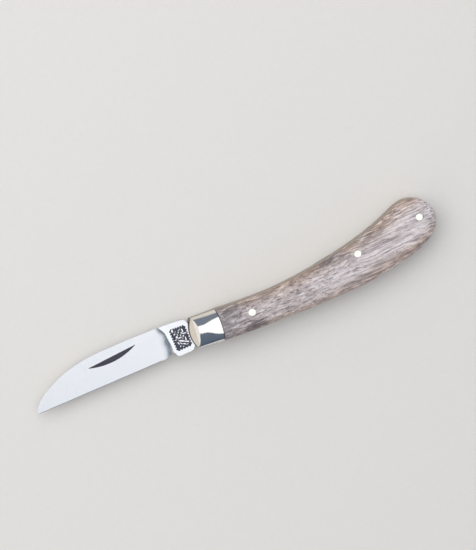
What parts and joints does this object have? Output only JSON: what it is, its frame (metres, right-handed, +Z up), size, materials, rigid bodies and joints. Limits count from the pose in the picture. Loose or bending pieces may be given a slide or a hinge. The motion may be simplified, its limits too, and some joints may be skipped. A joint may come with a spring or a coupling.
{
  "type": "folding pocket knife",
  "caption": "Folding slip-joint pocket knife, open: straight-edged blade with a nail nick, polished metal bolsters and a long bent handle covered in horn and held by pins.",
  "frame": {"origin": "centre of the bottom of the open knife's box, on the surface that it lies on", "axes": "+X along the cutting edge towards the butt of the handle, +Y towards the back of the knife, +Z up, away from the surface that it lies on"},
  "size_m": [0.1642, 0.0234, 0.0113],
  "materials": {
    "steel": "fine satin, ground flat",
    "nickel_silver": "mirror polished nickel silver",
    "brass": "ground edge",
    "horn": "satin horn, grey brown with fine streaks"
  },
  "bodies": {
    "handle": {"spring_base": "steel", "pivot_pin": "nickel_silver", "spring_pin": "nickel_silver", "butt_pin": "nickel_silver", "mark_side_liner": "brass", "mark_side_bolster": "nickel_silver", "mark_side_scale": "horn", "mark_side_cover_pin": "nickel_silver", "mark_side_front_rivet": "nickel_silver", "mark_side_rear_rivet": "nickel_silver", "pile_side_liner": "brass", "pile_side_bolster": "nickel_silver", "pile_side_scale": "horn", "pile_side_cover_pin": "nickel_silver", "pile_side_front_rivet": "nickel_silver", "pile_side_rear_rivet": "nickel_silver"},
    "blade": {"blade": "steel"},
    "spring_arm": {"spring_arm": "steel"}
  },
  "joints": [
    {"name": "blade_pivot", "type": "hinge", "parent": "handle", "child": "blade", "pos_m": [-0.01185, -0.00464, 0.0056], "axis": [0, 0, 1], "range_deg": [0, 175]},
    {"name": "spring_bend", "type": "hinge", "parent": "handle", "child": "spring_arm", "pos_m": [0.04025, 0.00056, 0.0056], "axis": [0, 0, -1], "range_deg": [0, 1], "stiffness_Nm_per_rad": 0.5}
  ]
}
